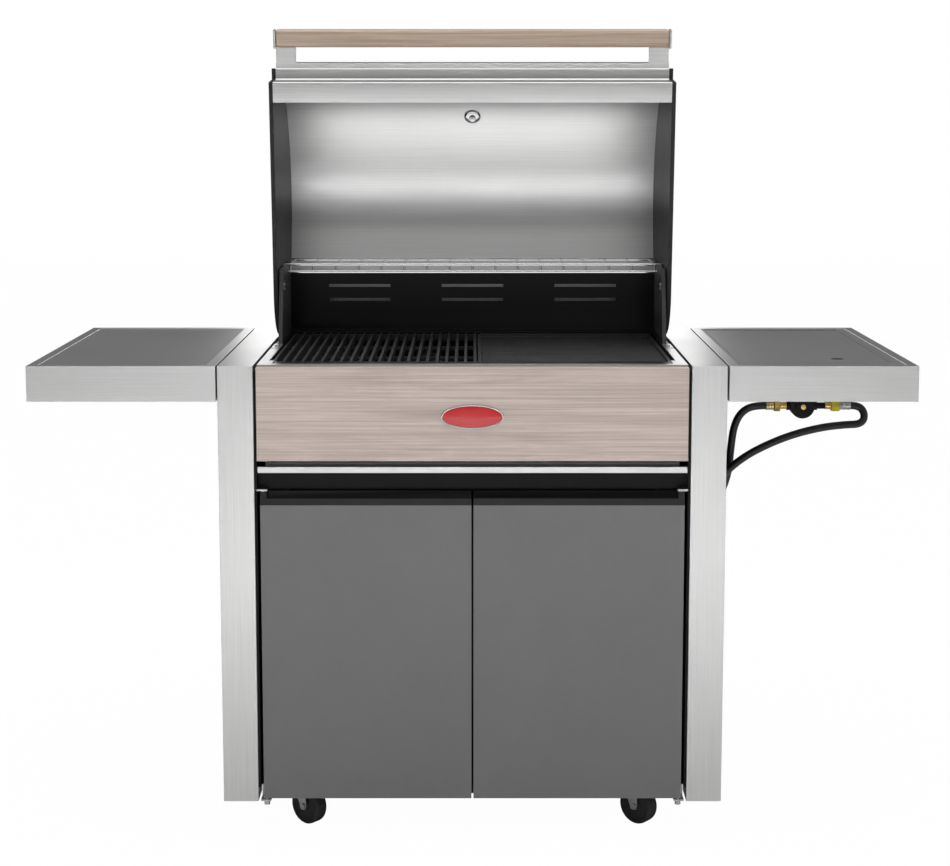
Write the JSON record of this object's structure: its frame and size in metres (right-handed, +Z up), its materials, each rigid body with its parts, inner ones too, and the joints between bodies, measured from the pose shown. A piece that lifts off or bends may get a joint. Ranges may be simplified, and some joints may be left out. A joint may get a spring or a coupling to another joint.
{
  "type": "gas barbecue grill",
  "caption": "Gas barbecue grill on a cabinet trolley with an open hood, grill and flat plates, side shelves, a side burner and casters.",
  "frame": {"origin": "centre of the bounding box of the open grill, at the floor under the casters", "axes": "+X to the right across the doors, +Y from the front to the back, +Z up"},
  "size_m": [1.64, 0.6889, 1.5288],
  "materials": {
    "stainless": "brushed",
    "dark_paint": "satin",
    "black_enamel": "gloss",
    "hood_casting": "satin",
    "cast_iron": "matte",
    "fascia_wood": "satin",
    "handle_wood": "satin",
    "black_metal": "satin",
    "chrome": "polished",
    "brass": "satin",
    "rubber": "matte",
    "black_plastic": "satin",
    "gloss_grip": "gloss",
    "wheel_rubber": "matte"
  },
  "bodies": {
    "trolley": {"back_wall": "black_enamel", "burners": "stainless", "cabinet_back": "black_metal", "cabinet_sides": "black_metal", "caster_plates": "chrome", "chassis_floor": "black_metal", "cheeks": "black_enamel", "control_panel": "black_metal", "cooktop_frame": "black_enamel", "cooktop_trims": "stainless", "door_hinges": "chrome", "firebox": "black_enamel", "flame_tamers": "stainless", "front_crossbar": "black_metal", "gas_fittings": "brass", "gas_valves": "brass", "hood_pivot_bolts": "chrome", "hose_a": "rubber", "hose_b": "rubber", "hose_grommet": "rubber", "regulator": "black_metal", "shelf_brackets": "black_metal", "shelf_frame_left": "stainless", "shelf_frame_right": "stainless", "shelf_panel_left": "dark_paint", "shelf_panel_right": "dark_paint", "side_burner": "stainless", "side_burner_trivet": "cast_iron", "side_frame_left": "stainless", "side_frame_right": "stainless", "side_panels": "black_metal"},
    "hood": {"hood_skin": "stainless", "hood_ends": "hood_casting", "hood_gauge": "chrome", "handle_brackets": "stainless", "hood_handle": "handle_wood"},
    "fascia_flap": {"fascia": "fascia_wood", "badge": "chrome"},
    "left_door": {"door_left": "dark_paint", "door_grip_left": "gloss_grip"},
    "right_door": {"door_right": "dark_paint", "door_grip_right": "gloss_grip"},
    "tray": {"grease_tray": "stainless"},
    "burner_lid": {"side_burner_cover": "dark_paint"},
    "grill_grid": {"grill_plate": "cast_iron"},
    "flat_plate": {"hotplate": "cast_iron"},
    "rack": {"warming_rack": "chrome"},
    "control_1": {"knob_1": "black_plastic"},
    "control_2": {"knob_2": "black_plastic"},
    "control_3": {"knob_3": "black_plastic"},
    "control_4": {"knob_4": "black_plastic"},
    "control_5": {"knob_5": "black_plastic"},
    "swivel_front_left": {"caster_fork_front_left": "chrome"},
    "wheel_front_left": {"caster_wheel_front_left": "wheel_rubber"},
    "swivel_front_right": {"caster_fork_front_right": "chrome"},
    "wheel_front_right": {"caster_wheel_front_right": "wheel_rubber"},
    "swivel_back_left": {"caster_fork_back_left": "chrome"},
    "wheel_back_left": {"caster_wheel_back_left": "wheel_rubber"},
    "swivel_back_right": {"caster_fork_back_right": "chrome"},
    "wheel_back_right": {"caster_wheel_back_right": "wheel_rubber"}
  },
  "joints": [
    {"name": "hood_hinge", "type": "hinge", "parent": "trolley", "child": "hood", "pos_m": [0, 0.12349, 1.005], "axis": [1, 0, 0], "range_deg": [0, 84]},
    {"name": "fascia_drop", "type": "hinge", "parent": "trolley", "child": "fascia_flap", "pos_m": [0, -0.33451, 0.73], "axis": [1, 0, 0], "range_deg": [0, 88]},
    {"name": "knob_1_turn", "type": "hinge", "parent": "trolley", "child": "control_1", "pos_m": [-0.3, -0.29651, 0.808], "axis": [0, -1, 0], "range_deg": [0, 135]},
    {"name": "knob_2_turn", "type": "hinge", "parent": "trolley", "child": "control_2", "pos_m": [-0.15, -0.29651, 0.808], "axis": [0, -1, 0], "range_deg": [0, 135]},
    {"name": "knob_3_turn", "type": "hinge", "parent": "trolley", "child": "control_3", "pos_m": [0, -0.29651, 0.808], "axis": [0, -1, 0], "range_deg": [0, 135]},
    {"name": "knob_4_turn", "type": "hinge", "parent": "trolley", "child": "control_4", "pos_m": [0.15, -0.29651, 0.808], "axis": [0, -1, 0], "range_deg": [0, 135]},
    {"name": "knob_5_turn", "type": "hinge", "parent": "trolley", "child": "control_5", "pos_m": [0.3, -0.29651, 0.808], "axis": [0, -1, 0], "range_deg": [0, 135]},
    {"name": "left_door_hinge", "type": "hinge", "parent": "trolley", "child": "left_door", "pos_m": [-0.388, -0.33551, 0.36], "axis": [0, 0, -1], "range_deg": [0, 110]},
    {"name": "right_door_hinge", "type": "hinge", "parent": "trolley", "child": "right_door", "pos_m": [0.388, -0.33551, 0.36], "axis": [0, 0, 1], "range_deg": [0, 110]},
    {"name": "grease_tray_slide", "type": "slide", "parent": "trolley", "child": "tray", "axis": [0, -1, 0], "range_m": [0, 0.42]},
    {"name": "burner_lid_hinge", "type": "hinge", "parent": "trolley", "child": "burner_lid", "pos_m": [0.6385, 0.24099, 0.894], "axis": [-1, 0, 0], "range_deg": [0, 95]},
    {"name": "grill_plate_lift", "type": "slide", "parent": "trolley", "child": "grill_grid", "axis": [0, 0, 1], "range_m": [0, 0.03]},
    {"name": "hotplate_lift", "type": "slide", "parent": "trolley", "child": "flat_plate", "axis": [0, 0, 1], "range_m": [0, 0.03]},
    {"name": "warming_rack_lift", "type": "slide", "parent": "trolley", "child": "rack", "axis": [0, 0, 1], "range_m": [0, 0.03]},
    {"name": "swivel_front_left_turn", "type": "hinge", "parent": "trolley", "child": "swivel_front_left", "pos_m": [-0.326, -0.25351, 0.08], "axis": [0, 0, 1], "continuous": true},
    {"name": "wheel_front_left_roll", "type": "hinge", "parent": "swivel_front_left", "child": "wheel_front_left", "pos_m": [-0.31528, -0.26251, 0.036], "axis": [0.6428, 0.766, 0], "continuous": true},
    {"name": "swivel_front_right_turn", "type": "hinge", "parent": "trolley", "child": "swivel_front_right", "pos_m": [0.31, -0.25351, 0.08], "axis": [0, 0, 1], "continuous": true},
    {"name": "wheel_front_right_roll", "type": "hinge", "parent": "swivel_front_right", "child": "wheel_front_right", "pos_m": [0.32072, -0.26251, 0.036], "axis": [0.6428, 0.766, 0], "continuous": true},
    {"name": "swivel_back_left_turn", "type": "hinge", "parent": "trolley", "child": "swivel_back_left", "pos_m": [-0.326, 0.19449, 0.08], "axis": [0, 0, 1], "continuous": true},
    {"name": "wheel_back_left_roll", "type": "hinge", "parent": "swivel_back_left", "child": "wheel_back_left", "pos_m": [-0.31528, 0.18549, 0.036], "axis": [0.6428, 0.766, 0], "continuous": true},
    {"name": "swivel_back_right_turn", "type": "hinge", "parent": "trolley", "child": "swivel_back_right", "pos_m": [0.31, 0.19449, 0.08], "axis": [0, 0, 1], "continuous": true},
    {"name": "wheel_back_right_roll", "type": "hinge", "parent": "swivel_back_right", "child": "wheel_back_right", "pos_m": [0.32072, 0.18549, 0.036], "axis": [0.6428, 0.766, 0], "continuous": true}
  ]
}
